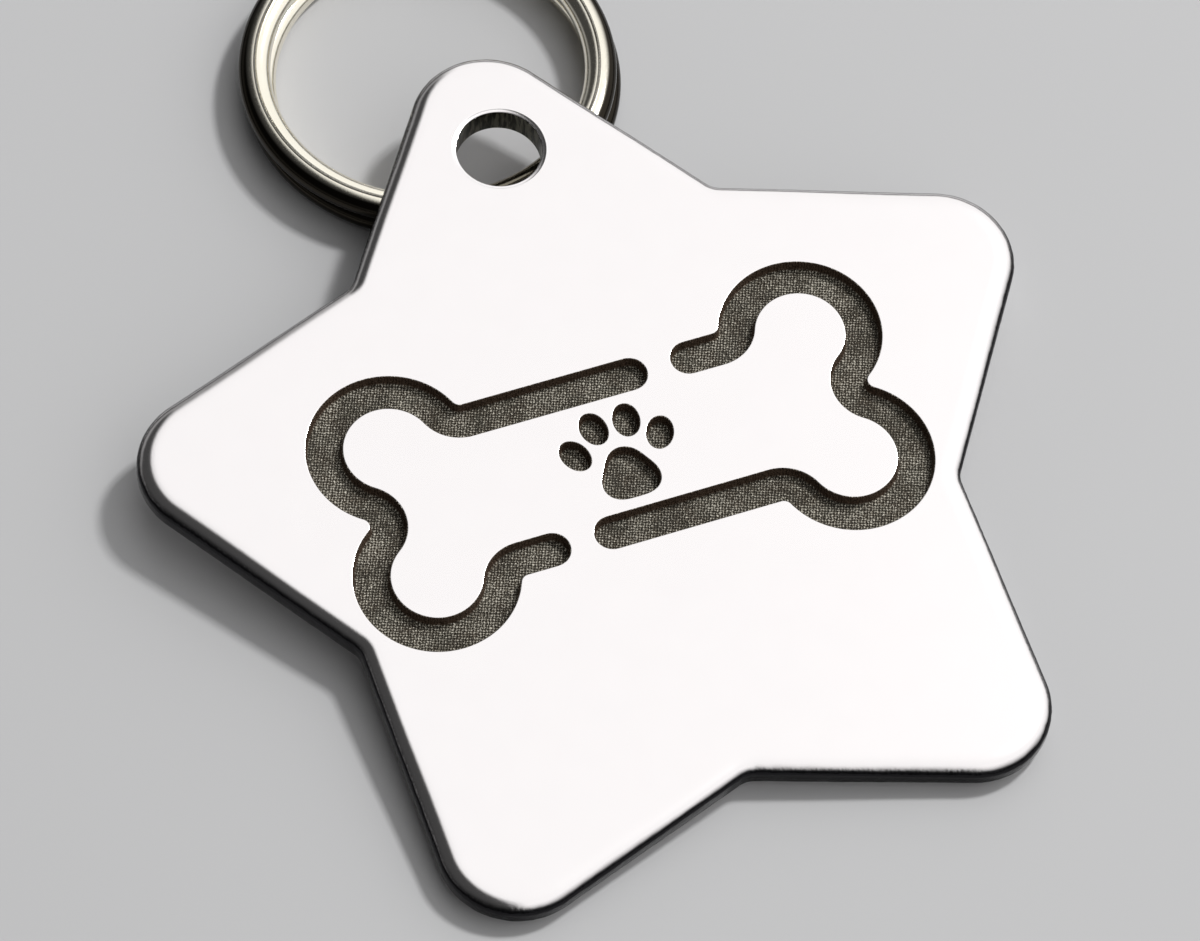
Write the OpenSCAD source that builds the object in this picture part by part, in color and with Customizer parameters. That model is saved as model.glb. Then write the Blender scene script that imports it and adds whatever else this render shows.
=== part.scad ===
// Star-shaped pet id tag lying face up with its split ring

/* [Tag plate] */
// Distance from the middle of the star to the corner of an arm, before it is rounded
arm_reach = 22.8; // [21:0.2:32]
// Depth of the notches: their corner's distance from the middle, as a share of the arms'
notch_share = 0.62; // [0.56:0.01:0.7]
// Width of the star, as a share of a regular star's
width_share = 0.945; // [0.88:0.005:1.04]
// Radius at the end of each arm
arm_round = 3.2; // [2.2:0.1:3.6]
// Radius at the bottom of each notch
notch_round = 1; // [0.6:0.1:5]
// Thickness of the metal
plate_thick = 1.3; // [1:0.1:2.5]
// Radius worn along both edges of the plate by tumbling
edge_round = 0.35; // [0.1:0.05:0.45]

/* [Hole] */
// Diameter of the hole for the ring
hole_d = 3.55; // [2.4:0.05:4.4]
// Metal between the hole and the end of the arm
hole_wall = 2.9; // [1.6:0.05:4]
// Width of the small chamfer round the hole
hole_chamfer = 0.15; // [0.05:0.05:0.3]

/* [Engraving] */
// Depth of the engraving
engrave_depth = 0.5; // [0.2:0.05:0.7]
// Width of the engraved line
line_w = 1.45; // [0.8:0.05:1.7]
// Length of the bone, along the middle of its line
bone_length = 22.8; // [20:0.2:23.6]
// Height of the bone over its knobs, along the middle of its line
bone_height = 11.2; // [10.6:0.2:12]
// Radius of the bone's knobs, along the middle of their line
knob_round = 2.6; // [2.2:0.1:2.7]
// Height of the bone's shaft, along the middle of its line
shaft_height = 6.6; // [6:0.1:7]
// Radius where the line bends in, beside the shaft and between the knobs
inner_bend = 1.1; // [0.9:0.05:1.4]
// Height of the middle of the bone above the middle of the star
bone_rise = 0.7; // [-0.4:0.1:1.2]
// Clear gap where the line is broken, between its round ends
line_break = 1.1; // [0.6:0.1:2]
// Distance from the middle of the bone to each break
break_aside = 2.8; // [0:0.1:3]
// Height of the paw print inside the bone
paw_height = 4.1; // [2.6:0.1:4.1]

/* [Split ring] */
// Outside diameter of the ring
ring_d = 15.9; // [14:0.1:20]
// Width of the wire, seen from above
wire_w = 1.35; // [1.2:0.05:2]
// Height of one turn of the wire
wire_h = 1.0; // [0.95:0.05:1.4]
// Width of the round along the outer corners of the wire
outer_round_w = 0.6; // [0.1:0.05:0.7]
// Height of the round along the outer corners of the wire
outer_round_h = 0.45; // [0.1:0.05:0.45]
// Radius along the inner corners of the wire
inner_round = 0.45; // [0.1:0.05:0.45]
// Slit between the two turns
turn_gap = 0.06; // [0.04:0.01:0.15]
// Angle over which the wire steps from the lower turn to the upper
step_angle = 30; // [24:1:50]
// Clear gap between the step and each cut end of the wire
end_gap = 0.4; // [0.2:0.1:1]

/* [Where the ring lies] */
// How far the middle of the ring lies beyond the middle of the hole
ring_beyond = 6.05; // [5:0.05:9]
// How far the middle of the ring lies to the left of the hole
ring_aside = 0.9; // [-3:0.05:3]
// Clearance between the ring and the plate that leans on it
rest_gap = 0.05; // [0.02:0.01:0.2]

/* [Hidden] */

// Counts and steps that set how smooth the rounded metal is
arm_steps = 14;
notch_steps = 8;
edge_steps = 4;
line_step = 12;
cap_steps = 10;
pad_steps = 36;
round_fn = 64;
overlap = 0.1;

// Counts and angles of the star's corners, and a quarter turn
arm_count = 5;
corner_count = 2 * arm_count;
corner_turn = 360 / corner_count;
quarter = 90;

// Corner of the star before rounding: arms are even, notches odd, and the hole's arm is 0
function is_arm(i) = i % 2 == 0;
function reach(i) = is_arm(i) ? arm_reach : arm_reach * notch_share;
function corner(i) = let (a = quarter + corner_turn * i) [width_share * reach(i) * cos(a), reach(i) * sin(a)];

function unit(v) = v / norm(v);
function heading(v) = atan2(v[1], v[0]);

// Half the angle between the two edges that meet at a corner, and the line that splits it
function to_prev(i) = unit(corner(i - 1) - corner(i));
function to_next(i) = unit(corner(i + 1) - corner(i));
function half_angle(i) = acos(to_prev(i) * to_next(i)) / 2;
function splitter(i) = unit(to_prev(i) + to_next(i));

// Middle of the arc that rounds a corner
function corner_round(i) = is_arm(i) ? arm_round : notch_round;
function arc_middle(i) = corner(i) + splitter(i) * corner_round(i) / sin(half_angle(i));

// Points of that arc on the outline drawn in by inset, in the order that the outline runs
function corner_arc(i, inset) =
    let (side = is_arm(i) ? 1 : -1)
    let (radius = corner_round(i) - side * inset)
    let (steps = is_arm(i) ? arm_steps : notch_steps)
    let (half_sweep = side * (quarter - half_angle(i)))
    let (start = heading(-splitter(i)) - half_sweep)
    [for (s = [0:steps]) let (a = start + 2 * half_sweep * s / steps) arc_middle(i) + radius * [cos(a), sin(a)]];

function star_outline(inset) = [for (i = [0:corner_count - 1]) each corner_arc(i, inset)];

// Highest and lowest points of the outline, at the end of the hole's arm and of the two lower arms
hole_arm = 0;
foot_arm = 4;
top_y = arc_middle(hole_arm)[1] + arm_round;
foot_y = arc_middle(foot_arm)[1] - arm_round;

// Distances from the middle of the star to the hole and to the middle of the ring
hole_reach = top_y - hole_wall - hole_d / 2;
ring_ahead = hole_reach + ring_beyond;

// The plate leans from its two lower arms onto the near side of the ring
ring_h = 2 * wire_h + turn_gap;
ring_r = ring_d / 2;
lean_from = foot_y + edge_round;
lean_run = ring_ahead - (ring_r - outer_round_w) - lean_from;
lean = atan((ring_h + rest_gap) / lean_run);

// The part stands with its origin under the middle of its bounding box
front_y = lean_from - edge_round - (plate_thick - 2 * edge_round) * sin(lean);
back_y = ring_ahead + ring_r;
origin_y = (front_y + back_y) / 2;

// Stacks outlines with equal counts of points into one solid; each layer is [height, outline]
module loft(layers) {
    count = len(layers[0][1]);
    top = len(layers) - 1;
    points = [for (layer = layers) for (p = layer[1]) [p[0], p[1], layer[0]]];
    sides = [
        for (k = [0:top - 1])
        for (i = [0:count - 1])
        let (j = (i + 1) % count)
        [k * count + i, (k + 1) * count + i, (k + 1) * count + j, k * count + j]
    ];
    lower_face = [for (i = [0:count - 1]) i];
    upper_face = [for (i = [count - 1:-1:0]) top * count + i];
    polyhedron(points, concat([lower_face], sides, [upper_face]));
}

// Star with both of its edges worn round. The loft runs a little past each face and is then ground flat
module star_blank() {
    worn = [for (s = [0:edge_steps]) let (a = quarter * s / edge_steps) edge_round * [1 - cos(a), 1 - sin(a)]];
    past = 2 * worn[edge_steps] - worn[edge_steps - 1];
    lower = [past, for (s = [edge_steps - 1:-1:0]) worn[s]];
    upper = [for (s = [edge_steps:-1:0]) [lower[s][0], plate_thick - lower[s][1]]];
    difference() {
        loft([for (level = concat(lower, upper)) [level[1], star_outline(level[0])]]);
        for (z = [-plate_thick, plate_thick])
            translate([-arm_reach, -arm_reach, z])
                cube([2 * arm_reach, 2 * arm_reach, plate_thick]);
    }
}

// Hole through the arm at the top, chamfered on both faces
module ring_hole() {
    hole_r = hole_d / 2;
    mouth_r = hole_r + hole_chamfer + overlap;
    translate([0, hole_reach, 0])
        rotate_extrude($fn = round_fn)
            polygon([
                [0, -overlap],
                [mouth_r, -overlap],
                [hole_r, hole_chamfer],
                [hole_r, plate_thick - hole_chamfer],
                [mouth_r, plate_thick + overlap],
                [0, plate_thick + overlap]
            ]);
}

// Points of a line that bends round an arc, each [x, y, heading]
function bend(middle, radius, from, sweep) =
    let (steps = ceil(abs(sweep) / line_step))
    [for (s = [0:steps]) let (a = from + sweep * s / steps)
        [middle[0] + radius * cos(a), middle[1] + radius * sin(a), a + sign(sweep) * quarter]];

// Point of the line's outline, turned from the line's heading at p
function beside(p, turn) = [p[0], p[1]] + line_w / 2 * [cos(p[2] + turn), sin(p[2] + turn)];

// Outline of a line with round ends, like the stroke of a brush
module stroke(line) {
    last = len(line) - 1;
    side_turns = [for (s = [0:cap_steps]) quarter - 2 * quarter * s / cap_steps];
    polygon(concat(
        [for (turn = side_turns) beside(line[last], turn)],
        [for (k = [last - 1:-1:1]) beside(line[k], -quarter)],
        [for (turn = side_turns) beside(line[0], turn - 2 * quarter)],
        [for (k = [1:last - 1]) beside(line[k], quarter)]
    ));
}

// Half of the bone's line: from the break in its upper side, round both knobs, to the break in its lower side
function bone_half() =
    let (shaft_y = shaft_height / 2)
    let (half_break = (line_break + line_w) / 2)
    let (knob = [bone_length, bone_height] / 2 - [knob_round, knob_round])
    let (reach_over = knob_round + inner_bend)
    let (shoulder_rise = asin((shaft_y + inner_bend - knob[1]) / reach_over))
    let (shoulder = knob + reach_over * [-cos(shoulder_rise), sin(shoulder_rise)])
    let (dip_fall = asin(knob[1] / reach_over))
    let (dip = knob + reach_over * [cos(dip_fall), -sin(dip_fall)])
    let (knob_sweep = 2 * quarter - shoulder_rise + dip_fall)
    concat(
        [[break_aside + half_break, shaft_y, 0]],
        bend(shoulder, inner_bend, -quarter, quarter - shoulder_rise),
        bend(knob, knob_round, 2 * quarter - shoulder_rise, -knob_sweep),
        bend(dip, inner_bend, 2 * quarter - dip_fall, 2 * dip_fall),
        bend([knob[0], -knob[1]], knob_round, dip_fall, -knob_sweep),
        bend([shoulder[0], -shoulder[1]], inner_bend, shoulder_rise, quarter - shoulder_rise),
        [[-break_aside + half_break, -shaft_y, 2 * quarter]]
    );

// Bone drawn in two strokes, the second turned half round from the first
module bone() {
    for (turn = [0, 2 * quarter])
        rotate([0, 0, turn])
            stroke(bone_half());
}

// Paw print, its pads placed in shares of its height
module paw_print() {
    toes = [[0.17, 0.33, -8], [0.44, 0.1, -24]];
    toe_size = [0.13, 0.18];
    pad_middle = [0, -0.25];
    pad_r = 0.28;
    pad_lobes = 0.1;
    scale_up = paw_height;
    for (toe = toes, side = [-1, 1])
        translate([side * toe[0], toe[1]] * scale_up)
            rotate([0, 0, side * toe[2]])
                polygon([for (s = [0:pad_steps - 1]) let (a = 4 * quarter * s / pad_steps)
                    scale_up * [toe_size[0] * cos(a), toe_size[1] * sin(a)]]);
    translate(pad_middle * scale_up)
        polygon([for (s = [0:pad_steps - 1]) let (a = 4 * quarter * s / pad_steps)
            scale_up * pad_r * (1 + pad_lobes * cos(3 * (a - quarter))) * [cos(a), sin(a)]]);
}

module engraving() {
    translate([0, bone_rise, plate_thick - engrave_depth])
        linear_extrude(engrave_depth + overlap) {
            bone();
            paw_print();
        }
}

// Turns what is drawn flat about the line that the lower arms stand on
module lean_on_ring() {
    translate([0, lean_from, edge_round])
        rotate([lean, 0, 0])
            translate([0, -lean_from, -edge_round])
                children();
}

module tag_plate() {
    color("whitesmoke")
        translate([0, -origin_y, 0])
            lean_on_ring()
                difference() {
                    star_blank();
                    ring_hole();
                    engraving();
                }
}

// Section of the wire, standing where rotate_extrude turns it
module wire_section() {
    translate([ring_r - wire_w / 2, 0])
        polygon([
            for (q = [0:3])
            for (s = [0:edge_steps])
            let (a = quarter * (q + s / edge_steps))
            let (outer = q == 0 || q == 3)
            let (side = [outer ? 1 : -1, q < 2 ? 1 : -1])
            let (bow = outer ? [outer_round_w, outer_round_h] : [inner_round, inner_round])
            let (across = side[0] * (wire_w / 2 - bow[0]) + bow[0] * cos(a))
            let (up = side[1] * (wire_h / 2 - bow[1]) + bow[1] * sin(a))
            [across, up]
        ]);
}

// Arc of the wire from one angle to another, about the middle of its height
module wire_arc(from, to) {
    rotate([0, 0, from])
        rotate_extrude(angle = to - from, $fn = 2 * round_fn)
            wire_section();
}

// One wire wound twice: the lower turn, the step that climbs, and the upper turn
module split_ring() {
    mean_r = ring_r - wire_w / 2;
    rise = wire_h + turn_gap;
    half_step = step_angle / 2;
    step_slope = asin(rise / 2 / (mean_r * sin(half_step)));
    mitre = wire_h / 2 * tan(step_slope / 2) / mean_r * 180 / PI;
    end_angle = end_gap / mean_r * 180 / PI;
    color("silver")
        translate([-ring_aside, ring_ahead - origin_y, wire_h / 2])
            rotate([0, 0, quarter]) {
                wire_arc(half_step + end_angle, 360 - half_step + mitre);
                translate([0, 0, rise / 2])
                    rotate([step_slope, 0, 0])
                        wire_arc(-half_step - mitre, half_step + mitre);
                translate([0, 0, rise])
                    wire_arc(half_step - mitre, 360 - half_step - end_angle);
            }
}

tag_plate();
split_ring();
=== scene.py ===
# Looks of a star-shaped pet id tag that leans face up on its split ring
from math import acos, asin, atan, atan2, ceil, cos, degrees, pi, radians, sin

import bpy
from mathutils import Matrix, Vector, noise
from mathutils.geometry import delaunay_2d_cdt


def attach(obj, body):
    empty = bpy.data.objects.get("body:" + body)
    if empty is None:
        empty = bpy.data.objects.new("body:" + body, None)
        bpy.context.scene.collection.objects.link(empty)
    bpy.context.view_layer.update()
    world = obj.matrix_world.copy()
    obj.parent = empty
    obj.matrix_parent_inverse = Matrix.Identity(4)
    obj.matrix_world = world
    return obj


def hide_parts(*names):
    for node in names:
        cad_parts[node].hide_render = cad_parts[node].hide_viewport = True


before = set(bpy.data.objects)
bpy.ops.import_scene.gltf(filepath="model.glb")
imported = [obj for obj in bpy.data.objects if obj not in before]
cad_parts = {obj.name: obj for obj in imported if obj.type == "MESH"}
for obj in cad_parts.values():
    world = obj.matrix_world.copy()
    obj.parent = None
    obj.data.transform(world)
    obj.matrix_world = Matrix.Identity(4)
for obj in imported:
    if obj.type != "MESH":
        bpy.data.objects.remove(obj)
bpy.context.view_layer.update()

# The pieces are drawn in millimetres, as the frame's source has them, and scaled once to metres
MM = 0.001

# Star plate. This group and the next four repeat the values of part.scad.
ARM_COUNT = 5
ARM_REACH = 22.8
NOTCH_SHARE = 0.62
WIDTH_SHARE = 0.945
ARM_ROUND = 3.2
NOTCH_ROUND = 1.0
PLATE_THICK = 1.3
EDGE_ROUND = 0.35

# Hole in the top arm
HOLE_D = 3.55
HOLE_WALL = 2.9
HOLE_CHAMFER = 0.15

# Engraving
ENGRAVE_DEPTH = 0.5
LINE_W = 1.45
BONE_LENGTH = 22.8
BONE_HEIGHT = 11.2
KNOB_ROUND = 2.6
SHAFT_HEIGHT = 6.6
INNER_BEND = 1.1
BONE_RISE = 0.7
LINE_BREAK = 1.1
BREAK_ASIDE = 2.8
PAW_HEIGHT = 4.1

# Paw print, in shares of its height: the toes' places, each with its tilt in degrees, their
# size, and the pad, whose lobes are a share of its radius
TOE_SHARES = ((0.17, 0.33, -8), (0.44, 0.1, -24))
TOE_SIZE_SHARES = (0.13, 0.18)
PAD_R_SHARE = 0.28
PAD_BELOW_SHARE = 0.25
PAD_LOBES = 3
LOBE_SHARE = 0.1

# Split ring and where it lies
RING_D = 15.9
WIRE_W = 1.35
WIRE_H = 1.0
OUTER_ROUND_W = 0.6
OUTER_ROUND_H = 0.45
INNER_ROUND = 0.45
TURN_GAP = 0.06
STEP_ANGLE = 30
END_GAP = 0.4
RING_BEYOND = 6.05
RING_ASIDE = 0.9
REST_GAP = 0.05

# The values from here to the steps are wear that only the looks have. The face rolls off
# towards its edge, TIP_ROLL times as much at an arm's tip, from where it fades over TIP_SPREAD
ROLL_WIDTH = 0.95
ROLL_DROP = 0.05
TIP_ROLL = 2.2
TIP_SPREAD = 4.0

# The rounded edge is worn wide, and its dents fade over DENT_REACH inwards from the outline
WORN_WIDTH = 0.6
DENT_REACH = 2 * EDGE_ROUND
DENT_DEPTH = 0.03
MEAN_DENT_SHARE = 0.5
FINE_DENTS_PER_MM, FINE_DENT_SHARE = 4.5, 0.35
COARSE_DENTS_PER_MM, COARSE_DENT_SHARE = 1.3, 0.15
COARSE_DENTS_AT = Vector((7, 3, 5))

# Engraved pockets have a rounded rim, a wall that leans in, a fillet and an uneven floor.
# Of their steps from the face, the first RIM_POLISHED are still polished
RIM_ROUND = 0.05
RIM_POLISHED = 2
WALL_DRAFT = 0.04
FLOOR_FILLET = 0.12
FLOOR_UNEVEN = 0.02
FLOOR_BUMPS_PER_MM = 5.2
FLOOR_BUMPS_AT = 0.7

# The hole's chamfer is eased, in shares of its size: inwards from its mouth and outwards
# from the bore, each with the depth
MOUTH_EASE_SHARES = ((0, 0), (0.05, 0.07), (0.1, 0.09))
BORE_EASE_SHARES = ((0.35, 0.17), (0.14, 0.23), (0.04, 0.36), (0, 0.6))

# The ring's turns lie a little aside of each other, and the wire's crest aside of its middle.
# The wire's cut ends are bevelled: degrees from the end and how many bevels the section is
# smaller there
TURN_SHIFT = 0.11
CREST_ASIDE = -0.05
END_BEVEL_SHARE = 0.07
END_EASE = ((0, 2), (0.05, 1), (0.3, 0))

# Steps of the meshes. FLOOR_MARGIN_SHARE is a share of FLOOR_STEP, HEADING_STEP is in degrees,
# and SUPPORT is the width of a flat strip round every opening, which keeps the shading even
ARM_STEPS = 48
NOTCH_STEPS = 22
SIDE_STEPS = 52
ROUND_STEPS = 12
ROLL_STEPS = 8
HOLE_STEPS = 144
LINE_STEP = 0.09
LEAST_LINE_STEPS = 12
CAP_STEPS = 16
TOE_STEPS = 96
PAD_STEPS = 144
RIM_STEPS = 4
WALL_STEPS = 3
FILLET_STEPS = 4
FLOOR_STEP = 0.16
FLOOR_MARGIN_SHARE = 0.6
SECTION_STEPS = 12
TURN_STEPS = 260
HEADING_STEP = 0.1
SUPPORT = 0.04


def turns(steps):
    """Angles that go once round."""
    return [2 * pi * s / steps for s in range(steps)]


def quarter(steps):
    """Angles of a quarter turn, both ends among them."""
    return [pi / 2 * s / steps for s in range(steps + 1)]


def smooth(share):
    share = min(1, max(0, share))
    return share * share * (3 - 2 * share)


def add_object(name, data):
    made = bpy.data.objects.new(name, data)
    bpy.context.scene.collection.objects.link(made)
    return made


# Corners of the star's outline, anticlockwise: the even ones are arms and the odd ones notches
CORNERS = 2 * ARM_COUNT
HOLE_ARM = 0
FOOT_ARM = 4


def is_arm(i):
    return i % 2 == 0


def corner(i):
    angle = pi / 2 + 2 * pi * i / CORNERS
    reach = ARM_REACH if is_arm(i) else ARM_REACH * NOTCH_SHARE
    return Vector((WIDTH_SHARE * reach * cos(angle), reach * sin(angle)))


def corner_arc(i):
    """Middle, radius, side and the angles of the arc that rounds a corner."""
    to_prev = (corner(i - 1) - corner(i)).normalized()
    to_next = (corner(i + 1) - corner(i)).normalized()
    half_angle = acos(to_prev.dot(to_next)) / 2
    splitter = (to_prev + to_next).normalized()
    side = 1 if is_arm(i) else -1
    radius = ARM_ROUND if is_arm(i) else NOTCH_ROUND
    middle = corner(i) + splitter * radius / sin(half_angle)
    half_sweep = side * (pi / 2 - half_angle)
    start = atan2(-splitter.y, -splitter.x) - half_sweep
    return middle, radius, side, start, 2 * half_sweep


def tip_wear(place):
    """How strongly tumbling has worn the edge: 1 along the sides, TIP_ROLL at an arm's tip."""
    arms = [corner_arc(i)[0] for i in range(CORNERS) if is_arm(i)]
    away = min((place - middle).length for middle in arms)
    return 1 + (TIP_ROLL - 1) * smooth(1 - (away - ARM_ROUND) / TIP_SPREAD)


def star_points():
    """Points of the star's outline, each with its outward direction and its wear."""
    arcs = []
    for i in range(CORNERS):
        middle, radius, side, start, sweep = corner_arc(i)
        steps = ARM_STEPS if is_arm(i) else NOTCH_STEPS
        arc = []
        for s in range(steps + 1):
            angle = start + sweep * s / steps
            spoke = Vector((cos(angle), sin(angle)))
            arc.append((middle + radius * spoke, side * spoke))
        arcs.append(arc)
    points = []
    for i, arc in enumerate(arcs):
        points += arc
        (here, outward), (there, _) = arc[-1], arcs[(i + 1) % CORNERS][0]
        points += [(here.lerp(there, s / SIDE_STEPS), outward) for s in range(1, SIDE_STEPS)]
    return [(place, outward, tip_wear(place)) for place, outward in points]


STAR = star_points()
TOP_Y = corner_arc(HOLE_ARM)[0].y + ARM_ROUND
FOOT_Y = corner_arc(FOOT_ARM)[0].y - ARM_ROUND
HOLE_REACH = TOP_Y - HOLE_WALL - HOLE_D / 2

# The plate leans from its two lower arms onto the near side of the ring
RING_AHEAD = HOLE_REACH + RING_BEYOND
RING_H = 2 * WIRE_H + TURN_GAP
RING_R = RING_D / 2
LEAN_FROM = FOOT_Y + EDGE_ROUND
LEAN = atan((RING_H + REST_GAP) / (RING_AHEAD - (RING_R - OUTER_ROUND_W) - LEAN_FROM))
FRONT_Y = LEAN_FROM - EDGE_ROUND - (PLATE_THICK - 2 * EDGE_ROUND) * sin(LEAN)
BACK_Y = RING_AHEAD + RING_R
ORIGIN_Y = (FRONT_Y + BACK_Y) / 2

# Material slots of the tag and of the ring, in the order in which their meshes get materials
METAL, ENGRAVED, BORE = 0, 1, 2
WIRE = 0


class Surface:
    """Gathers points, each point's share of painted dark reflection, faces and each face's
    material slot.
    """

    def __init__(self):
        self.points = []
        self.dark_reflection_share = []
        self.faces = []
        self.slots = []

    def add_loop(self, points, dark_reflection_share=None):
        first = len(self.points)
        self.points += [tuple(p) for p in points]
        self.dark_reflection_share += dark_reflection_share or [0.0] * len(points)
        return list(range(first, len(self.points)))

    def add_face(self, face, slot):
        self.faces.append(face)
        self.slots.append(slot)

    def bridge(self, lower, upper, slot):
        """Joins two closed loops that run the same way and have equal counts."""
        count = len(lower)
        for i in range(count):
            j = (i + 1) % count
            self.add_face((lower[i], lower[j], upper[j], upper[i]), slot)

    def bridge_all(self, loops, slot):
        for lower, upper in zip(loops, loops[1:]):
            self.bridge(lower, upper, slot)

    def fill(self, outer, holes, slot, inside=(), height=None, facing_up=True):
        """Fills a flat region between closed loops, through the given points inside it."""
        loops = [outer] + holes
        ids = [i for loop in loops for i in loop]
        flat = [Vector(self.points[i][:2]) for i in ids] + [Vector(p) for p in inside]
        regions = []
        first = 0
        for loop in loops:
            regions.append(list(range(first, first + len(loop))))
            first += len(loop)
        only_inside, tolerance = 1, 1e-6
        found = delaunay_2d_cdt(flat, [], regions, only_inside, tolerance)
        vertices, _, triangles, from_vertex, _, from_face = found
        target = {}
        for v, sources in enumerate(from_vertex):
            if sources and sources[0] < len(ids):
                target[v] = ids[sources[0]]
        for triangle, sources in zip(triangles, from_face):
            if list(sources) != [0]:
                continue
            for v in triangle:
                if v not in target:
                    x, y = vertices[v]
                    target[v] = self.add_loop([(x, y, height(x, y))])[0]
            face = [target[v] for v in triangle]
            self.add_face(tuple(face if facing_up else reversed(face)), slot)

    def build(self, name, materials, placing):
        mesh = bpy.data.meshes.new(name)
        mesh.from_pydata(self.points, [], self.faces)
        for material in materials:
            mesh.materials.append(material)
        mesh.polygons.foreach_set("material_index", self.slots)
        attribute = mesh.attributes.new("dark_reflection_share", "FLOAT", "POINT")
        attribute.data.foreach_set("value", self.dark_reflection_share)
        mesh.transform(placing)
        mesh.shade_smooth()
        mesh.update()
        return add_object(name, mesh)


def roll_off(inset):
    """How far the face drops towards its edge, from tumbling."""
    return ROLL_DROP * max(0, 1 - inset / ROLL_WIDTH) ** 2


def edge_profile():
    """Steps from the edge's upright wall inwards: inset and drop below the face."""
    steps = []
    for angle in quarter(ROUND_STEPS):
        steps.append((WORN_WIDTH * (1 - cos(angle)), EDGE_ROUND * (1 - sin(angle))))
    for s in range(1, ROLL_STEPS + 1):
        steps.append((WORN_WIDTH + (ROLL_WIDTH - WORN_WIDTH) * s / ROLL_STEPS, 0))
    return steps


def dent(point, share):
    """How far tumbling has pressed the rounded edge in at a point."""
    fine = noise.noise(Vector(point) * FINE_DENTS_PER_MM)
    coarse = noise.noise(Vector(point) * COARSE_DENTS_PER_MM + COARSE_DENTS_AT)
    depth = MEAN_DENT_SHARE + FINE_DENT_SHARE * fine + COARSE_DENT_SHARE * coarse
    return DENT_DEPTH * share * depth


def star_loop(surface, inset, drop, upper):
    """The star's outline, drawn in by the inset, below the upper face or above the lower one."""
    dented = max(0, 1 - inset / DENT_REACH)
    points = []
    for place, outward, worn in STAR:
        flat = place - outward * inset
        fall = drop + roll_off(inset) * worn
        height = PLATE_THICK - fall if upper else fall
        pressed = dent((flat.x, flat.y, height), dented)
        points.append((flat.x - outward.x * pressed, flat.y - outward.y * pressed, height))
    return surface.add_loop(points)


def even_loop(points, spacing):
    """Closed outline with its points spread evenly."""
    count = len(points)
    lengths = [0.0]
    for i in range(count):
        lengths.append(lengths[-1] + (points[(i + 1) % count] - points[i]).length)
    steps = max(LEAST_LINE_STEPS, round(lengths[-1] / spacing))
    spread = []
    i = 0
    for s in range(steps):
        at = lengths[-1] * s / steps
        while lengths[i + 1] < at:
            i += 1
        share = (at - lengths[i]) / (lengths[i + 1] - lengths[i])
        spread.append(points[i].lerp(points[(i + 1) % count], share))
    return spread


def outward_of(points, i):
    along = points[(i + 1) % len(points)] - points[i - 1]
    return Vector((along.y, -along.x)).normalized()


def grow(points, by):
    """The outline moved outwards, square to itself."""
    return [p + outward_of(points, i) * by for i, p in enumerate(points)]


def bend(middle, radius, start, sweep):
    """Points of a line that bends round an arc, each with the line's heading."""
    steps = ceil(abs(sweep) * radius / LINE_STEP)
    turn = pi / 2 if sweep > 0 else -pi / 2
    points = []
    for s in range(steps + 1):
        angle = start + sweep * s / steps
        x = middle[0] + radius * cos(angle)
        y = middle[1] + radius * sin(angle)
        points.append((x, y, angle + turn))
    return points


def bone_half():
    """Half of the bone's line, from the break in its upper side to the one in its lower side."""
    shaft_y = SHAFT_HEIGHT / 2
    half_break = (LINE_BREAK + LINE_W) / 2
    knob = (BONE_LENGTH / 2 - KNOB_ROUND, BONE_HEIGHT / 2 - KNOB_ROUND)
    over = KNOB_ROUND + INNER_BEND
    shoulder_rise = asin((shaft_y + INNER_BEND - knob[1]) / over)
    shoulder = (knob[0] - over * cos(shoulder_rise), knob[1] + over * sin(shoulder_rise))
    dip_fall = asin(knob[1] / over)
    dip = (knob[0] + over * cos(dip_fall), knob[1] - over * sin(dip_fall))
    knob_sweep = pi - shoulder_rise + dip_fall
    return (
        [(BREAK_ASIDE + half_break, shaft_y, 0)]
        + bend(shoulder, INNER_BEND, -pi / 2, pi / 2 - shoulder_rise)
        + bend(knob, KNOB_ROUND, pi - shoulder_rise, -knob_sweep)
        + bend(dip, INNER_BEND, pi - dip_fall, 2 * dip_fall)
        + bend((knob[0], -knob[1]), KNOB_ROUND, dip_fall, -knob_sweep)
        + bend((shoulder[0], -shoulder[1]), INNER_BEND, shoulder_rise, pi / 2 - shoulder_rise)
        + [(-BREAK_ASIDE + half_break, -shaft_y, pi)]
    )


def stroke_outline(line):
    """Outline of a line with round ends, like the stroke of a brush."""
    cap = [pi / 2 - pi * s / CAP_STEPS for s in range(CAP_STEPS + 1)]

    def beside(p, turn):
        aside = Vector((cos(p[2] + turn), sin(p[2] + turn)))
        return Vector((p[0], p[1])) + LINE_W / 2 * aside

    clockwise = (
        [beside(line[-1], turn) for turn in cap]
        + [beside(p, -pi / 2) for p in reversed(line[1:-1])]
        + [beside(line[0], turn - pi) for turn in cap]
        + [beside(p, pi / 2) for p in line[1:-1]]
    )
    return list(reversed(clockwise))


def toe_outline(x, y, tilt):
    """A toe is an ellipse round a point, tilted by an angle in degrees."""
    turn = radians(tilt)
    outline = []
    for angle in turns(TOE_STEPS):
        u, v = TOE_SIZE_SHARES[0] * cos(angle), TOE_SIZE_SHARES[1] * sin(angle)
        across = x + u * cos(turn) - v * sin(turn)
        up = y + u * sin(turn) + v * cos(turn)
        outline.append(Vector((across, up)))
    return outline


def pad_outline():
    outline = []
    for angle in turns(PAD_STEPS):
        radius = PAD_R_SHARE * (1 + LOBE_SHARE * cos(PAD_LOBES * (angle - pi / 2)))
        outline.append(Vector((radius * cos(angle), radius * sin(angle) - PAD_BELOW_SHARE)))
    return outline


def paw_outlines():
    """Outlines of the four toes and the pad."""
    toes = [toe_outline(side * x, y, side * tilt) for x, y, tilt in TOE_SHARES for side in (-1, 1)]
    return [[p * PAW_HEIGHT for p in outline] for outline in toes + [pad_outline()]]


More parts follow.
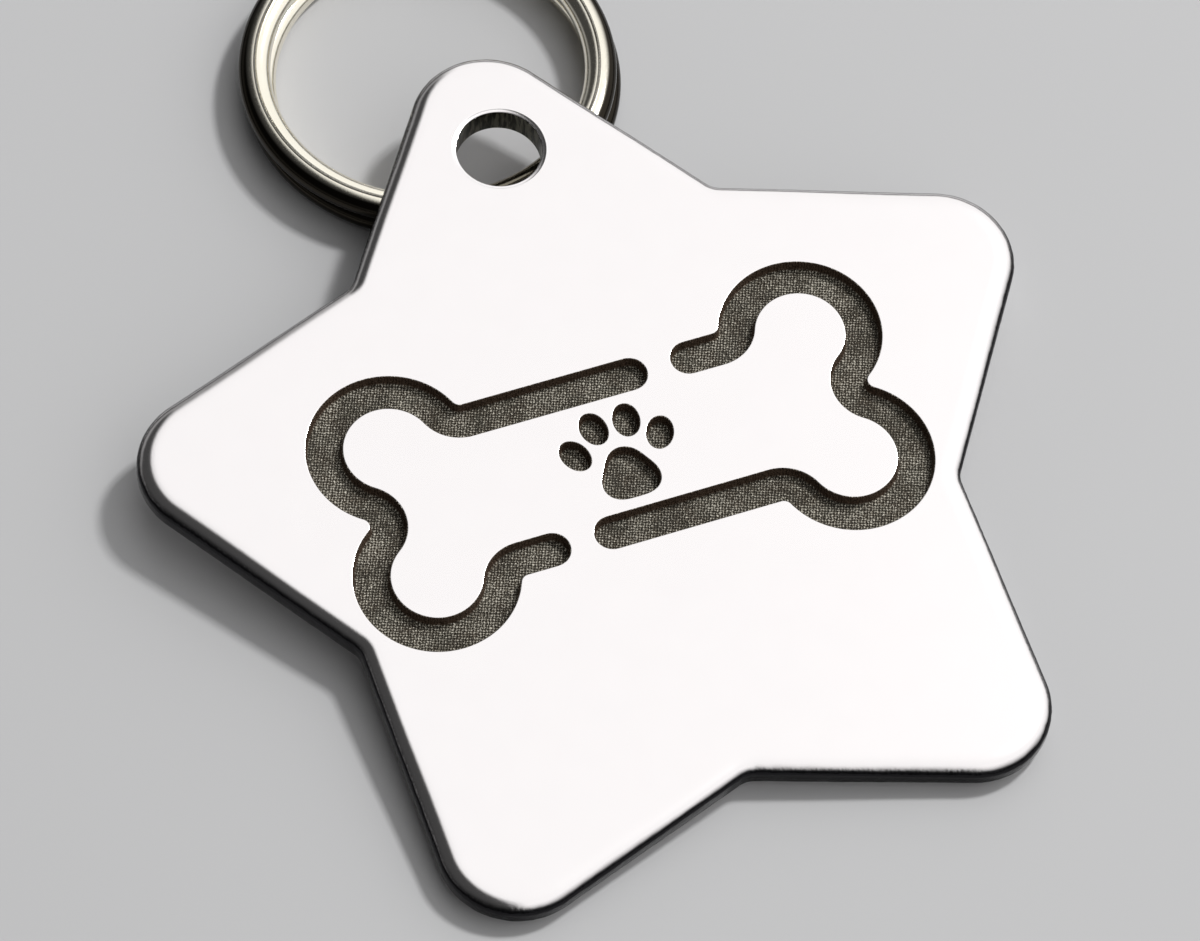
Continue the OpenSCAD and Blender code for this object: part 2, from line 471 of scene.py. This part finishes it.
def engraved_outlines():
    """Every outline of the engraving, running anticlockwise with its points spread evenly."""
    half = stroke_outline(bone_half())
    other_half = [-p for p in half]
    rise = Vector((0, BONE_RISE))
    outlines = [half, other_half] + paw_outlines()
    return [even_loop([p + rise for p in outline], LINE_STEP) for outline in outlines]


def pocket_profile():
    """Steps from the face into an engraved pocket: growth of its outline and depth."""
    steps = [(RIM_ROUND + SUPPORT, 0)]
    for angle in quarter(RIM_STEPS):
        steps.append((RIM_ROUND * (1 - sin(angle)), RIM_ROUND * (1 - cos(angle))))
    wall_depth = ENGRAVE_DEPTH - FLOOR_FILLET - RIM_ROUND
    for s in range(1, WALL_STEPS):
        share = s / WALL_STEPS
        steps.append((-WALL_DRAFT * share, RIM_ROUND + wall_depth * share))
    for angle in quarter(FILLET_STEPS):
        growth = -WALL_DRAFT - FLOOR_FILLET * (1 - cos(angle))
        steps.append((growth, ENGRAVE_DEPTH - FLOOR_FILLET * (1 - sin(angle))))
    return steps


def uneven_floor(x, y):
    rough = noise.noise(Vector((x * FLOOR_BUMPS_PER_MM, y * FLOOR_BUMPS_PER_MM, FLOOR_BUMPS_AT)))
    return PLATE_THICK - ENGRAVE_DEPTH + FLOOR_UNEVEN * rough


def grid_within(outline):
    """Points of a grid over the outline's box, with every other row moved by half a step."""
    xs = [p.x for p in outline]
    ys = [p.y for p in outline]
    columns = int((max(xs) - min(xs)) / FLOOR_STEP)
    rows = int((max(ys) - min(ys)) / FLOOR_STEP)
    return [
        (min(xs) + FLOOR_STEP * (i + 0.5 * (j % 2)), min(ys) + FLOOR_STEP * j)
        for i in range(columns + 1)
        for j in range(rows + 1)
    ]


def inside_outline(outline, margin):
    """A test of whether a point lies in the outline, at least margin away from it."""
    count = len(outline)
    sides = [(outline[i], outline[(i + 1) % count]) for i in range(count)]

    def test(x, y):
        inside = False
        for a, b in sides:
            if (a.x - x) ** 2 + (a.y - y) ** 2 < margin * margin:
                return False
            if (a.y > y) != (b.y > y) and x < a.x + (y - a.y) * (b.x - a.x) / (b.y - a.y):
                inside = not inside
        return inside

    return test


def engrave(surface, outline):
    """Cuts one pocket, and returns its loop on the face."""
    loops = []
    for growth, depth in pocket_profile():
        points = grow(outline, growth)
        loops.append(surface.add_loop([(p.x, p.y, PLATE_THICK - depth) for p in points]))
    surface.bridge_all(loops[: RIM_POLISHED + 1], METAL)
    surface.bridge_all(loops[RIM_POLISHED:], ENGRAVED)
    floor_outline = grow(outline, pocket_profile()[-1][0])
    test = inside_outline(floor_outline, FLOOR_STEP * FLOOR_MARGIN_SHARE)
    inside = [p for p in grid_within(floor_outline) if test(*p)]
    surface.fill(loops[-1], [], ENGRAVED, inside, uneven_floor)
    return loops[0]


def bore_hole(surface):
    """Cuts the hole and its two chamfers, and returns its loops on the upper and lower face."""
    radius = HOLE_D / 2
    mouth = radius + HOLE_CHAMFER
    half = [(mouth + SUPPORT, 0)]
    for inwards, down in MOUTH_EASE_SHARES:
        half.append((mouth - inwards * HOLE_CHAMFER, down * HOLE_CHAMFER))
    for outwards, down in BORE_EASE_SHARES:
        half.append((radius + outwards * HOLE_CHAMFER, down * HOLE_CHAMFER))
    steps = [(r, PLATE_THICK - drop) for r, drop in half]
    steps += [(r, drop) for r, drop in reversed(half)]
    loops = []
    for r, z in steps:
        circle = [(r * cos(a), HOLE_REACH + r * sin(a), z) for a in turns(HOLE_STEPS)]
        loops.append(surface.add_loop(circle))
    last_chamfer = len(half) - 2
    surface.bridge_all(loops[: last_chamfer + 1], METAL)
    surface.bridge_all(loops[last_chamfer : len(loops) - last_chamfer], BORE)
    surface.bridge_all(loops[len(loops) - last_chamfer - 1 :], METAL)
    return loops[0], loops[-1]


def tag_surface():
    surface = Surface()
    half = edge_profile()
    loops = [star_loop(surface, inset, drop, upper=False) for inset, drop in reversed(half)]
    loops += [star_loop(surface, inset, drop, upper=True) for inset, drop in half]
    surface.bridge_all(loops, METAL)
    upper_mouth, lower_mouth = bore_hole(surface)
    pockets = [engrave(surface, outline) for outline in engraved_outlines()]
    surface.fill(loops[-1], [upper_mouth] + pockets, METAL)
    surface.fill(loops[0], [lower_mouth], METAL, facing_up=False)
    return surface


def tag_placing():
    """From the plate's own place, flat in millimetres, to its lean on the ring, in metres."""
    pivot = Vector((0, LEAN_FROM, EDGE_ROUND))
    return (
        Matrix.Scale(MM, 4)
        @ Matrix.Translation((0, -ORIGIN_Y, 0))
        @ Matrix.Translation(pivot)
        @ Matrix.Rotation(LEAN, 4, "X")
        @ Matrix.Translation(-pivot)
    )


def wire_section():
    """Points of the wire's section, from its middle: across, up and the share of painted dark
    reflection.
    The painted dark reflection grows from the crests, above and below, to the outer wall."""
    points = []
    for quadrant in range(4):
        outer = quadrant in (0, 3)
        side_x = 1 if outer else -1
        side_y = 1 if quadrant < 2 else -1
        wide = WIRE_W / 2 - side_x * CREST_ASIDE
        high = OUTER_ROUND_H if outer else INNER_ROUND
        for s in range(SECTION_STEPS + 1):
            angle = pi / 2 * (quadrant + s / SECTION_STEPS)
            across = CREST_ASIDE + wide * cos(angle)
            up = side_y * (WIRE_H / 2 - high) + high * sin(angle)
            # The outer wall's share of painted dark reflection
            dark_reflection_share = 1 - max(0, side_y * sin(angle)) if outer else 0
            points.append((across, up, dark_reflection_share))
    return points


def wire_angle(turned):
    """Where the wire is after some degrees from the far side, where its step lies."""
    return radians(90 + turned)


def wire_place(turned):
    """Middle of the wire after it has turned by some degrees."""
    angle = wire_angle(turned)
    climb = smooth((turned - (360 - STEP_ANGLE / 2)) / STEP_ANGLE)
    mean = RING_R - WIRE_W / 2
    shift = TURN_SHIFT * (1 - 2 * climb)
    rise = WIRE_H / 2 + (WIRE_H + TURN_GAP) * climb
    return Vector((mean * cos(angle) + shift, mean * sin(angle), rise))


def ring_surface():
    surface = Surface()
    end_turn = degrees(END_GAP / (RING_R - WIRE_W / 2))
    start = STEP_ANGLE / 2 + end_turn
    finish = 720 - STEP_ANGLE / 2 - end_turn
    steps = round(TURN_STEPS * (finish - start) / 360)
    section = wire_section()
    dark_reflection_share = [share for _, _, share in section]
    ends = [(away, 1 - bevels * END_BEVEL_SHARE) for away, bevels in END_EASE]
    stations = [(start + away, size) for away, size in ends]
    stations += [(start + (finish - start) * s / steps, 1) for s in range(1, steps)]
    stations += [(finish - away, size) for away, size in reversed(ends)]
    loops = []
    for turned, size in stations:
        middle = wire_place(turned)
        ahead, behind = wire_place(turned + HEADING_STEP), wire_place(turned - HEADING_STEP)
        along = (ahead - behind).normalized()
        angle = wire_angle(turned)
        spoke = Vector((cos(angle), sin(angle), 0))
        up = spoke.cross(along)
        points = [middle + (spoke * across + up * height) * size for across, height, _ in section]
        loops.append(surface.add_loop(points, dark_reflection_share))
    surface.bridge_all(loops, WIRE)
    surface.add_face(tuple(reversed(loops[0])), WIRE)
    surface.add_face(tuple(loops[-1]), WIRE)
    return surface


def ring_placing():
    return Matrix.Scale(MM, 4) @ Matrix.Translation((-RING_ASIDE, RING_AHEAD - ORIGIN_Y, 0))


# Colours. A pair is mixed by a noise.
POLISHED = ((0.94, 0.91, 0.91), (0.96, 0.93, 0.93))
# The tag's walls, painted near-black: painted shade standing in for the shaded floor that they
# reflect
WALL_SHADE_PAINT = (0.02, 0.0195, 0.021)
SOOT = ((0.052, 0.038, 0.026), (0.06, 0.056, 0.045))
LASERED = ((0.21, 0.165, 0.12), (0.18, 0.18, 0.14))
SPARK = (0.72, 0.68, 0.58)
# The pockets' walls: painted shade in the recess, with a scorched brown tint
SCORCH_AND_SHADE_WALL = (0.085, 0.052, 0.032)
# The hole's wall: painted shade in the hole, with lighter streaks from the bore
BORE_STREAKS_AND_SHADE = ((0.035, 0.034, 0.024), (0.2, 0.195, 0.15))
NICKEL = ((0.95, 0.90, 0.76), (0.97, 0.93, 0.83))
# Painted shade on the ring under the tag, round where the tag sits
SEAT_SHADE = (0.2, 0.18, 0.14)
# Painted dark reflection along the ring's outer side
DARK_REFLECTION_PAINT = (0.03, 0.026, 0.02)
PALE_PAINT = ((0.50, 0.50, 0.505), (0.53, 0.53, 0.535))

# Where the tag sits on the ring, and from where to where the painted shade under it fades
SEAT = (0.0, RING_AHEAD - ORIGIN_Y - RING_R + WIRE_W / 2, RING_H)
SEAT_FADE = (2.2, 3.2)

# The laser passed over the engraving in two directions, in radians
LASER_TURNS = (0.42, 1.93)


class Nodes:
    """Adds nodes to a tree. Every value may be an output of another node or a plain value."""

    def __init__(self, tree):
        self.tree = tree

    def node(self, kind, links=None, **values):
        made = self.tree.nodes.new(kind)
        for name, value in values.items():
            setattr(made, name, value)
        for name, value in (links or {}).items():
            self.feed(made.inputs[name], value)
        return made

    def feed(self, socket, value):
        if isinstance(value, bpy.types.NodeSocket):
            self.tree.links.new(value, socket)
        else:
            socket.default_value = value

    def vector_math(self, operation, first, second=(0, 0, 0), scale=1.0):
        links = {0: first, 1: second, 3: scale}
        return self.node("ShaderNodeVectorMath", links, operation=operation).outputs["Vector"]

    def math(self, operation, first, second=0.0):
        links = {0: first, 1: second}
        return self.node("ShaderNodeMath", links, operation=operation).outputs["Value"]

    def height(self, direction):
        return self.node("ShaderNodeSeparateXYZ", {0: direction}).outputs["Z"]

    def ramp(self, value, low, high, to_low=0.0, to_high=1.0):
        links = {"Value": value, "From Min": low, "From Max": high}
        links.update({"To Min": to_low, "To Max": to_high})
        made = self.node("ShaderNodeMapRange", links, interpolation_type="SMOOTHSTEP")
        return made.outputs["Result"]


class Shader(Nodes):
    """Builds a material. It measures places in millimetres."""

    def __init__(self, name):
        self.material = bpy.data.materials.new(name)
        self.material.use_nodes = True
        super().__init__(self.material.node_tree)
        self.surface = self.tree.nodes["Principled BSDF"]
        place = self.node("ShaderNodeTexCoord").outputs["Object"]
        self.place = self.vector_math("SCALE", place, scale=1 / MM)

    def noise(self, per_mm, detail, roughness=0.5, stretch=(1, 1, 1)):
        place = self.vector_math("MULTIPLY", self.place, stretch)
        links = {"Vector": place, "Scale": per_mm, "Detail": detail, "Roughness": roughness}
        return self.node("ShaderNodeTexNoise", links).outputs["Fac"]

    def distance_beside(self, point):
        """Distance from a point, as seen from above."""
        away = self.vector_math("SUBTRACT", self.place, point)
        level = self.vector_math("MULTIPLY", away, (1, 1, 0))
        return self.node("ShaderNodeVectorMath", {0: level}, operation="LENGTH").outputs["Value"]

    # Reads each point's share of painted dark reflection from the mesh
    def dark_reflection_share(self):
        return self.node("ShaderNodeAttribute", attribute_name="dark_reflection_share").outputs["Fac"]

    def wall(self, steep, level):
        """1 where the normal's height is under steep, and 0 where it is over level."""
        normal = self.node("ShaderNodeTexCoord").outputs["Normal"]
        upright = self.math("ABSOLUTE", self.height(normal))
        return self.ramp(upright, steep, level, to_low=1.0, to_high=0.0)

    def mix(self, share, first, second):
        """Mixes two colours."""
        made = self.node("ShaderNodeMix", {"Factor": share}, data_type="RGBA")
        # The node has its sockets once for each kind of data. These are its colours.
        socket_a, socket_b, result = 6, 7, 2
        for socket, colour in ((socket_a, first), (socket_b, second)):
            self.feed(made.inputs[socket], (*colour, 1) if isinstance(colour, tuple) else colour)
        return made.outputs[result]

    def bump(self, height, depth, under=None):
        """Bump of a height from 0 to 1, whose full depth is in millimetres."""
        links = {"Height": height, "Strength": 1.0, "Distance": depth * MM}
        made = self.node("ShaderNodeBump", links)
        if under is not None:
            self.feed(made.inputs["Normal"], under)
        return made.outputs["Normal"]

    def put(self, **values):
        """Sets the surface's own sockets; underscores stand for spaces."""
        for name, value in values.items():
            self.feed(self.surface.inputs[name.replace("_", " ")], value)
        return self.material


def tag_metal():
    """Polished faces that take a faint grain, and pitted walls painted near-black as painted
    shade.
    """
    shader = Shader("tumbled_aluminium")
    face = shader.mix(shader.noise(per_mm=0.7, detail=3), *POLISHED)
    # Steep walls get the near-black paint, which is painted shade, and the pits
    wall = shader.wall(steep=0.66, level=0.9)
    pits = shader.math("MULTIPLY", shader.noise(per_mm=7, detail=3), wall)
    grain = shader.bump(shader.noise(per_mm=11, detail=2), depth=0.0012)
    return shader.put(
        Base_Color=shader.mix(wall, face, WALL_SHADE_PAINT),
        Metallic=1.0,
        Roughness=0.15,
        Normal=shader.bump(pits, depth=0.015, under=grain),
    )


def laser_weave(shader):
    """The crossing tracks of the laser, broken up by grit."""
    tracks = []
    for turn in LASER_TURNS:
        links = {"Vector": shader.place, "Angle": turn}
        along = shader.node("ShaderNodeVectorRotate", links, rotation_type="Z_AXIS")
        links = {"Vector": along.outputs["Vector"], "Scale": 2.6}
        links.update({"Distortion": 4.6, "Detail": 2.0, "Detail Scale": 3.0})
        tracks.append(shader.node("ShaderNodeTexWave", links).outputs["Fac"])
    grit = shader.noise(per_mm=9, detail=2, roughness=0.6)
    return shader.math("MULTIPLY", shader.math("ADD", *tracks), grit)


def engraved_metal():
    """Dark soot with lighter tracks and a few sparks, in brighter and darker patches, with walls
    darkened brown as painted shade with a scorched tint.
    """
    shader = Shader("laser_engraved")
    weave = laser_weave(shader)
    tint = shader.noise(per_mm=1.3, detail=2)
    patches = shader.noise(per_mm=0.8, detail=2)
    patches = shader.ramp(patches, 0.35, 0.65, to_low=0.84, to_high=1.14)
    shine = shader.math("MULTIPLY", weave, patches)
    lit = shader.ramp(shine, 0.3, 0.62)
    spark = shader.ramp(shine, 0.62, 0.84)
    colour = shader.mix(lit, shader.mix(tint, *SOOT), shader.mix(tint, *LASERED))
    colour = shader.mix(spark, colour, SPARK)
    # The pocket walls are darkened: painted shade in the recess, with a scorched tint
    colour = shader.mix(shader.wall(steep=0.3, level=0.97), colour, SCORCH_AND_SHADE_WALL)
    bump = shader.bump(weave, depth=0.1)
    return shader.put(Base_Color=colour, Metallic=0.4, Roughness=0.5, Normal=bump)


def bored_metal():
    """The wall of the hole, painted dark as shade in the hole, with streaks along the bore."""
    shader = Shader("bored_wall")
    streak = shader.noise(per_mm=6, detail=3, roughness=0.6, stretch=(1, 1, 0.15))
    # Dark paint for the shade in the hole, broken by the bore's streaks
    colour = shader.mix(shader.ramp(streak, 0.42, 0.62), *BORE_STREAKS_AND_SHADE)
    bump = shader.bump(streak, depth=0.02)
    return shader.put(Base_Color=colour, Metallic=0.9, Roughness=0.34, Normal=bump)


def ring_metal():
    """Nickel with painted shade round where the tag sits on it, and a painted dark reflection
    along its outer side.
    """
    shader = Shader("nickel_wire")
    fine = shader.noise(per_mm=14, detail=2)
    nickel = shader.mix(shader.noise(per_mm=0.6, detail=2), *NICKEL)
    # Painted shade under the tag, fading out round where it sits
    seat_shade = shader.ramp(shader.distance_beside(SEAT), *SEAT_FADE, to_low=1.0, to_high=0.0)
    # The outer side's share of painted dark reflection
    dark_reflection_share = shader.ramp(shader.dark_reflection_share(), 0.02, 0.2)
    return shader.put(
        Base_Color=shader.mix(dark_reflection_share, shader.mix(seat_shade, nickel, SEAT_SHADE), DARK_REFLECTION_PAINT),
        Metallic=1.0,
        Roughness=shader.ramp(fine, 0.3, 0.7, to_low=0.1, to_high=0.17),
        Normal=shader.bump(fine, depth=0.0012),
    )


def floor_paint():
    shader = Shader("pale_floor")
    colour = shader.mix(shader.noise(per_mm=0.02, detail=2), *PALE_PAINT)
    return shader.put(Base_Color=colour, Roughness=0.75)


tag_materials = [tag_metal(), engraved_metal(), bored_metal()]
tag = tag_surface().build("tag_plate_finish", tag_materials, tag_placing())
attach(tag, "tag")
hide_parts("tag_plate")

ring = ring_surface().build("split_ring_finish", [ring_metal()], ring_placing())
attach(ring, "ring")
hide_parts("split_ring")


# Floor, camera and light. Lengths are in metres from here on, but for the camera's.
FLOOR_RADIUS = 3.0
FLOOR_SIDES = 96
FLOOR_DROP = 0.00002

# The camera's place in millimetres from the middle of the star, its aim and its right side
CAMERA_AT = Vector((-46.987, -111.676, 195.081))
CAMERA_FORWARD = Vector((0.20192, 0.4915, -0.84714))
CAMERA_RIGHT = Vector((0.94149, -0.33573, 0.02962))
CAMERA_LENS = 170.5
SENSOR = 36

# The sky is white on the window's side and a dim room on the other, which is lighter low down.
# The whole sky darkens towards the horizon. An edge says between which values of a direction's
# share towards the window, or of its height, the light changes from one to the other.
WINDOW_SIDE = (0.99, -0.08, 0.1)
WINDOW_EDGE = (-0.1, 0.13)
ROOM_EDGE = (0.32, 0.5)
ROOM_LIGHT = (0.28, 0.05)
HORIZON_EDGE = (0.06, 0.3)
HORIZON_LIGHT = (0.15, 1.0)


def make_floor():
    mesh = bpy.data.meshes.new("floor")
    rim = [(FLOOR_RADIUS * cos(a), FLOOR_RADIUS * sin(a), -FLOOR_DROP) for a in turns(FLOOR_SIDES)]
    mesh.from_pydata(rim, [], [tuple(range(FLOOR_SIDES))])
    mesh.materials.append(floor_paint())
    floor = add_object("floor", mesh)


def make_camera():
    data = bpy.data.cameras.new("camera")
    data.lens = CAMERA_LENS
    data.sensor_width = SENSOR
    data.clip_start = 0.01
    data.clip_end = 20
    camera = add_object("camera", data)
    back = -CAMERA_FORWARD.normalized()
    right = (CAMERA_RIGHT - CAMERA_RIGHT.project(back)).normalized()
    up = back.cross(right)
    turn = Matrix((right, up, back)).transposed().to_4x4()
    place = (CAMERA_AT - Vector((0, ORIGIN_Y, 0))) * MM
    camera.matrix_world = Matrix.Translation(place) @ turn
    bpy.context.scene.camera = camera


def make_lamp(name, towards, distance, size, power):
    """A soft square lamp that shines on the object from a direction."""
    data = bpy.data.lights.new(name, "AREA")
    data.shape = "SQUARE"
    data.size = size
    data.energy = power
    lamp = add_object(name, data)
    direction = Vector(towards).normalized()
    lamp.location = direction * distance
    lamp.rotation_mode = "QUATERNION"
    lamp.rotation_quaternion = direction.to_track_quat("Z", "Y")
    lamp.visible_camera = False


def make_world():
    world = bpy.data.worlds.new("studio")
    world.use_nodes = True
    sky = Nodes(world.node_tree)
    direction = sky.node("ShaderNodeTexCoord").outputs["Generated"]
    links = {0: direction, 1: Vector(WINDOW_SIDE).normalized()}
    aim = sky.node("ShaderNodeVectorMath", links, operation="DOT_PRODUCT").outputs["Value"]
    height = sky.height(direction)
    window = sky.ramp(aim, *WINDOW_EDGE)
    room = sky.ramp(height, *ROOM_EDGE, *ROOM_LIGHT)
    above = sky.ramp(height, *HORIZON_EDGE, *HORIZON_LIGHT)
    light = sky.node("ShaderNodeMix", {"Factor": window, "A": room, "B": 1.0}).outputs["Result"]
    background = sky.tree.nodes["Background"]
    sky.feed(background.inputs["Color"], (1.0, 1.0, 1.0, 1.0))
    sky.feed(background.inputs["Strength"], sky.math("MULTIPLY", light, above))
    bpy.context.scene.world = world


make_floor()
make_camera()
make_world()
make_lamp("key", towards=(0.57, 0.19, 0.8), distance=0.6, size=0.08, power=2.15)

bpy.context.scene.view_settings.view_transform = "Standard"
